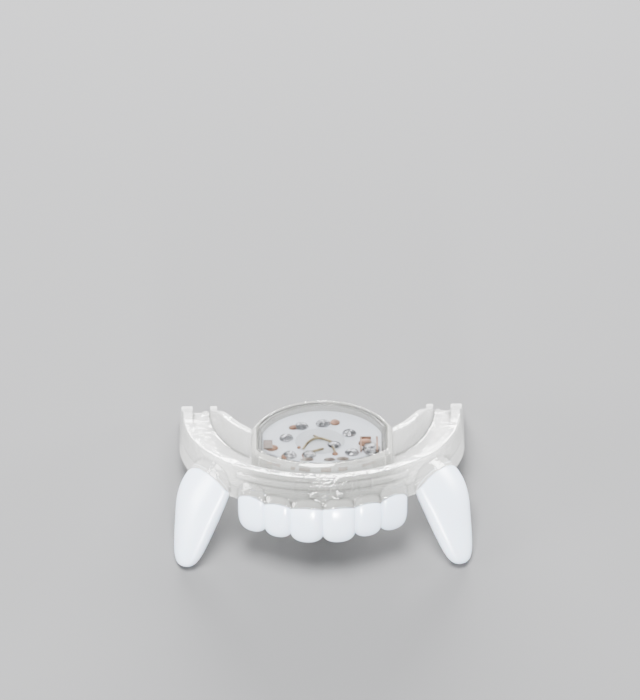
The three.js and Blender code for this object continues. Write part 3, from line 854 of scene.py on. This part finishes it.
def crease_shading_group():
    """Painted shading: a colour that is darker in the creases of the form, where shadow would
    fall, and full on its edges.
    """
    group = bpy.data.node_groups.new("painted crease shading", "ShaderNodeTree")
    sockets = group.interface
    sockets.new_socket("Color", in_out="INPUT", socket_type="NodeSocketColor")
    sockets.new_socket("Painted Shading Color", in_out="INPUT", socket_type="NodeSocketColor")
    sockets.new_socket("Color", in_out="OUTPUT", socket_type="NodeSocketColor")
    nodes, links = group.nodes, group.links
    given = nodes.new("NodeGroupInput")
    result = nodes.new("NodeGroupOutput")
    form = nodes.new("ShaderNodeNewGeometry")
    spread = nodes.new("ShaderNodeMapRange")
    spread.inputs["From Min"].default_value = CREASE_SHADING_RANGE[0]
    spread.inputs["From Max"].default_value = CREASE_SHADING_RANGE[1]
    # The painted crease shading: the darker colour in the creases, white on the flats and edges.
    tint = nodes.new("ShaderNodeMix")
    tint.data_type = "RGBA"
    tint.inputs["B"].default_value = (1, 1, 1, 1)
    product = nodes.new("ShaderNodeMix")
    product.data_type = "RGBA"
    product.blend_type = "MULTIPLY"
    product.inputs["Factor"].default_value = 1
    links.new(form.outputs["Pointiness"], spread.inputs["Value"])
    links.new(spread.outputs["Result"], tint.inputs["Factor"])
    links.new(given.outputs["Painted Shading Color"], tint.inputs["A"])
    links.new(given.outputs["Color"], product.inputs["A"])
    links.new(tint.outputs["Result"], product.inputs["B"])
    links.new(product.outputs["Result"], result.inputs["Color"])
    return group


CREASE_SHADING = crease_shading_group()


def painted_shading_fade(nodes, links, starts, gone):
    """How far a place lies behind the front, as 0 to 1 between two depths in millimetres: where
    the painted front shading fades out.
    """
    place_of = nodes.new("ShaderNodeTexCoord")
    level = nodes.new("ShaderNodeMapping")
    turn = level_turn().inverted()
    level.inputs["Rotation"].default_value = turn.to_euler()
    level.inputs["Location"].default_value = turn @ -TO_WORLD.translation
    split = nodes.new("ShaderNodeSeparateXYZ")
    spread = nodes.new("ShaderNodeMapRange")
    spread.interpolation_type = "SMOOTHSTEP"
    spread.inputs["From Min"].default_value = starts * MM
    spread.inputs["From Max"].default_value = gone * MM
    links.new(place_of.outputs["Object"], level.inputs["Vector"])
    links.new(level.outputs["Vector"], split.inputs["Vector"])
    links.new(split.outputs["Y"], spread.inputs["Value"])
    return spread.outputs["Result"]


def moulded(
    name, color_low, color_high, roughness, bump, waves=(260, 3200), depth=0.1, painted_front_shading=None,
    crease=None, spread=(0, 1), **settings,
):
    """A material whose colour, gloss and relief vary a little over the surface. The painted front
    shading is a darker colour painted at the front, standing in for the dimness behind and inside
    the front wall, with the depths where it starts to fade and is gone. The painted crease shading
    is the darker colour painted into the form's creases where shadow falls, and the spread says
    which part of the noise is used."""
    material, nodes, links = new_material(name)
    shader = nodes["Principled BSDF"]
    for socket, value in settings.items():
        shader.inputs[socket.replace("_", " ")].default_value = value
    surface = nodes.new("ShaderNodeGroup")
    surface.node_tree = SURFACE
    surface.inputs["Wave Scale"].default_value = waves[0]
    surface.inputs["Speck Scale"].default_value = waves[1]
    surface.inputs["Roughness Low"].default_value = roughness[0]
    surface.inputs["Roughness High"].default_value = roughness[1]
    relief = nodes.new("ShaderNodeBump")
    relief.inputs["Strength"].default_value = bump
    relief.inputs["Distance"].default_value = depth * MM
    place_of = nodes.new("ShaderNodeTexCoord")
    tint = nodes.new("ShaderNodeTexNoise")
    tint.inputs["Scale"].default_value = waves[0] / PATCH_SIZE
    colors = nodes.new("ShaderNodeMix")
    colors.data_type = "RGBA"
    colors.inputs["A"].default_value = (*color_low, 1)
    colors.inputs["B"].default_value = (*color_high, 1)
    share = nodes.new("ShaderNodeMapRange")
    share.inputs["From Min"].default_value, share.inputs["From Max"].default_value = spread
    links.new(place_of.outputs["Object"], tint.inputs["Vector"])
    links.new(tint.outputs["Fac"], share.inputs["Value"])
    links.new(share.outputs["Result"], colors.inputs["Factor"])
    color = colors.outputs["Result"]
    # Painted shading: the base colour is darkened towards the front, standing in for the shadow
    # behind the front wall.
    if painted_front_shading:
        darker = nodes.new("ShaderNodeMix")
        darker.data_type = "RGBA"
        darker.inputs["A"].default_value = (*painted_front_shading["color"], 1)
        faded = painted_shading_fade(nodes, links, painted_front_shading["starts"], painted_front_shading["gone"])
        links.new(faded, darker.inputs["Factor"])
        links.new(color, darker.inputs["B"])
        color = darker.outputs["Result"]
    # Painted crease shading: the colour is darkened in the form's creases.
    if crease:
        creased = nodes.new("ShaderNodeGroup")
        creased.node_tree = CREASE_SHADING
        creased.inputs["Painted Shading Color"].default_value = (*crease, 1)
        links.new(color, creased.inputs["Color"])
        color = creased.outputs["Color"]
    links.new(color, shader.inputs["Base Color"])
    links.new(surface.outputs["Height"], relief.inputs["Height"])
    links.new(relief.outputs["Normal"], shader.inputs["Normal"])
    links.new(surface.outputs["Roughness"], shader.inputs["Roughness"])
    return material


TRAY_CLEAR = moulded(
    "clear soft plastic", (0.92, 0.925, 0.91), (1.0, 1.0, 0.99), (0.01, 0.06), 0.7,
    waves=(420, 2600), depth=0.24,
    # painted front shading: the darker colour at the front stands in for the shadow behind the
    # front wall
    painted_front_shading={"starts": 1, "gone": 11, "color": (0.5, 0.505, 0.485)},
    # painted crease shading in the tray's creases
    crease=(0.2, 0.2, 0.19), Transmission_Weight=0.75, IOR=1.5,
)
CAPSULE_CLEAR = moulded(
    "clear capsule plastic", (0.78, 0.78, 0.74), (0.9, 0.9, 0.87), (0.01, 0.07), 0.5,
    # painted crease shading in the capsule's creases
    crease=(0.3, 0.3, 0.28), Transmission_Weight=0.82, IOR=1.5,
)
WINDOW_CLEAR = moulded(
    "window plastic", (0.96, 0.97, 0.98), (0.99, 0.99, 1.0), (0.02, 0.05), 0.03,
    Transmission_Weight=1.0, IOR=1.45,
)
LENS_CLEAR = moulded(
    "clear resin", (0.9, 0.9, 0.9), (0.97, 0.97, 0.97), (0.03, 0.08), 0.1, (900, 5000),
    Transmission_Weight=0.95, IOR=1.5,
)
TOOTH_WHITE = moulded(
    "tooth white", (0.56, 0.645, 0.77), (0.61, 0.695, 0.81), (0.2, 0.3), 0.06,
    Subsurface_Weight=0.2, Subsurface_Scale=0.8 * MM, Coat_Weight=0.8, Coat_Roughness=0.2, IOR=1.5,
)
FANG_WHITE = moulded(
    "fang white", (0.54, 0.615, 0.73), (0.6, 0.675, 0.78), (0.25, 0.35), 0.06,
    Subsurface_Weight=0.2, Subsurface_Scale=0.8 * MM, Coat_Weight=0.7, Coat_Roughness=0.32,
    IOR=1.5,
)
BOARD_WHITE = moulded(
    "board lacquer", (0.61, 0.65, 0.71), (0.69, 0.72, 0.77), (0.35, 0.5), 0.15, (500, 6000),
)
# Painted shading: the rise is coloured greyer than the board lacquer, standing in for the shadow
# on it.
RISE_SHADING_GREY = moulded(
    "board rise painted shading", (0.42, 0.44, 0.47), (0.52, 0.54, 0.57), (0.25, 0.4), 0.1, (500, 6000),
)
SOLDER = moulded(
    "solder", (0.12, 0.12, 0.125), (0.78, 0.78, 0.8), (0.1, 0.3), 1.0, (2000, 5000),
    spread=(0.35, 0.65), Metallic=0.9,
)
DULL_SOLDER = moulded(
    "dull solder", (0.11, 0.08, 0.06), (0.42, 0.37, 0.32), (0.3, 0.5), 0.9, (2000, 5000),
    spread=(0.35, 0.65), Metallic=0.9,
)
COPPER = moulded(
    "copper", (0.13, 0.055, 0.025), (0.33, 0.17, 0.1), (0.3, 0.5), 0.8, (2000, 5000),
    spread=(0.35, 0.65), Metallic=0.5,
)
CONTACT_BROWN = moulded(
    "bare pad", (0.13, 0.1, 0.085), (0.22, 0.175, 0.15), (0.4, 0.55), 0.3, (900, 4000),
    Metallic=0.3,
)
WIRE_METAL = moulded(
    "bare wire", (0.15, 0.11, 0.05), (0.42, 0.34, 0.2), (0.25, 0.4), 0.4, (1500, 6000),
    spread=(0.35, 0.65), Metallic=0.9,
)
LAMP_DARK = moulded(
    "lamp body", (0.05, 0.05, 0.055), (0.09, 0.09, 0.09), (0.3, 0.45), 0.1, (900, 5000),
)
LAMP_CHIP = moulded(
    "lamp die", (0.06, 0.06, 0.07), (0.12, 0.12, 0.13), (0.3, 0.45), 0.1, (900, 5000),
)


# Stage


def floor_material():
    material = new_material("studio floor")[0]
    shader = material.node_tree.nodes["Principled BSDF"]
    shader.inputs["Base Color"].default_value = (*FLOOR_COLOR, 1)
    shader.inputs["Roughness"].default_value = FLOOR_ROUGHNESS
    return material


def make_stage():
    bm = bmesh.new()
    bmesh.ops.create_grid(bm, x_segments=1, y_segments=1, size=2)
    floor = as_object(bm, "floor")
    floor.data.materials.append(floor_material())
    world = bpy.data.worlds.new("studio")
    bpy.context.scene.world = world
    world.use_nodes = True
    backdrop = world.node_tree.nodes["Background"]
    backdrop.inputs["Color"].default_value = (*BACKDROP["color"], 1)
    backdrop.inputs["Strength"].default_value = BACKDROP["strength"]
    for light in LIGHTS:
        area_light(**light)


def area_light(name, place_at, size, power):
    light = bpy.data.lights.new(name, "AREA")
    light.shape = "RECTANGLE"
    light.size, light.size_y = size
    light.energy = power
    obj = bpy.data.objects.new(name, light)
    obj.location = place_at
    obj.rotation_euler = (-Vector(place_at)).to_track_quat("-Z", "Y").to_euler()
    bpy.context.scene.collection.objects.link(obj)


def make_camera():
    """Looks at the denture as the photograph does, which shows it below the frame's middle."""
    tilt = -level_turn().to_euler().x
    elevation = math.radians(TRAY_VIEW) + tilt
    target = TO_WORLD.translation
    away = Vector((0, -math.cos(elevation), math.sin(elevation)))
    frame_height = PHOTO["height"] / PHOTO_SCALE * MM
    camera = bpy.data.cameras.new("camera")
    camera.sensor_width = SENSOR
    camera.lens = SENSOR * CAMERA_DISTANCE / frame_height
    obj = bpy.data.objects.new("camera", camera)
    pixel = frame_height / PHOTO["height"] / CAMERA_DISTANCE
    aside = math.atan((PHOTO_RIM[0] - PHOTO["width"] / 2) * pixel)
    upward = math.atan((PHOTO_RIM[1] - PHOTO["height"] / 2) * pixel)
    turn = Matrix.Rotation(math.pi / 2 - elevation, 4, "X")
    own = (
        Matrix.Rotation(math.radians(-PHOTO_ROLL), 4, "Z")
        @ Matrix.Rotation(upward, 4, "X")
        @ Matrix.Rotation(aside, 4, "Y")
    )
    obj.matrix_world = Matrix.Translation(target + away * CAMERA_DISTANCE) @ turn @ own
    bpy.context.scene.collection.objects.link(obj)
    bpy.context.scene.camera = obj


# The denture

make_camera()
make_stage()

roots = []
for side_name, side in (("left", -1), ("right", 1)):
    for number, (root, crown) in enumerate(tooth_parts(side), 1):
        node = f"tooth_{side_name}_{number}"
        roots.append(root)
        place(crown, f"crown_{side_name}_{number}", TOOTH_WHITE, [node])
    root, crown = fang_parts(side)
    roots.append(root)
    place(crown, f"long_fang_{side_name}", FANG_WHITE, [f"fang_{side_name}"])

place(make_tray(roots), "clear_tray", TRAY_CLEAR, ["tray"], sharp=None)
place(
    make_capsule(), "clear_capsule", CAPSULE_CLEAR, ["light_capsule"],
    sharp=None,
)
place(
    make_window(), "clear_window", WINDOW_CLEAR, ["capsule_window"],
    sharp=None,
)
place(make_board(), "white_board", BOARD_WHITE, ["circuit_board"], sharp=None)

# The rise carries painted shading in its greyer colour.
place(dome(**BOARD_RISE), "board_rise", RISE_SHADING_GREY)
for number in range(1, SOLDER_COUNT + 1):
    low, high = level_box(f"solder_joint_{number}")
    x, y = (low.x + high.x) / 2, (low.y + high.y) / 2
    along = SOLDER_RADIUS * SOLDER_DEPTH
    joint = dome(x, y, SOLDER_RADIUS, along, SOLDER_HEIGHT, lumps=0.05)
    place(joint, f"joint_{number}", SOLDER, [f"solder_joint_{number}"])
for number, pad in enumerate(COPPER_PADS, 1):
    drop = dome(**{"height": SMALL_JOINT_HEIGHT, "lumps": 0.05, **pad})
    place(drop, f"copper_pad_{number}", COPPER)
for number, joint in enumerate(EDGE_JOINTS, 1):
    drop = dome(**joint, height=SMALL_JOINT_HEIGHT, lumps=0.12)
    place(drop, f"edge_joint_{number}", DULL_SOLDER)
place(dome(**CLIP_JOINT, lumps=0.08), "clip_joint", SOLDER)

low, high = level_box("contact_pad")
pad_piece = round_edges(block(low - Vector((PAD_SPREAD, 0, 0)), high), PAD_EDGE)
place(pad_piece, "bare_pad", CONTACT_BROWN, ["contact_pad"], sharp=None)
place(
    bracket_frame(), "copper_bracket", COPPER, ["contact_bracket"],
    sharp=None,
)
for number, points in enumerate(WIRES, 1):
    stands_for = ["wire_loop"] if number == 1 else []
    place(tube(points, WIRE_RADIUS), f"wire_{number}", WIRE_METAL, stands_for)

for number in range(1, LAMP_COUNT + 1):
    body, lens, die = front_lamp(number)
    node = f"front_led_{number}"
    place(body, f"lamp_body_{number}", LAMP_DARK, [node], sharp=None)
    place(lens, f"lamp_lens_{number}", LENS_CLEAR)
    place(die, f"lamp_die_{number}", LAMP_CHIP)

for number, tab in enumerate(STRIP_TABS, 1):
    place(strip_tab(tab), f"strip_tab_{number}", COPPER, sharp=None)

strip = frame["nodes"]["led_strip"]
strip.data.materials.clear()
strip.data.materials.append(BOARD_WHITE)
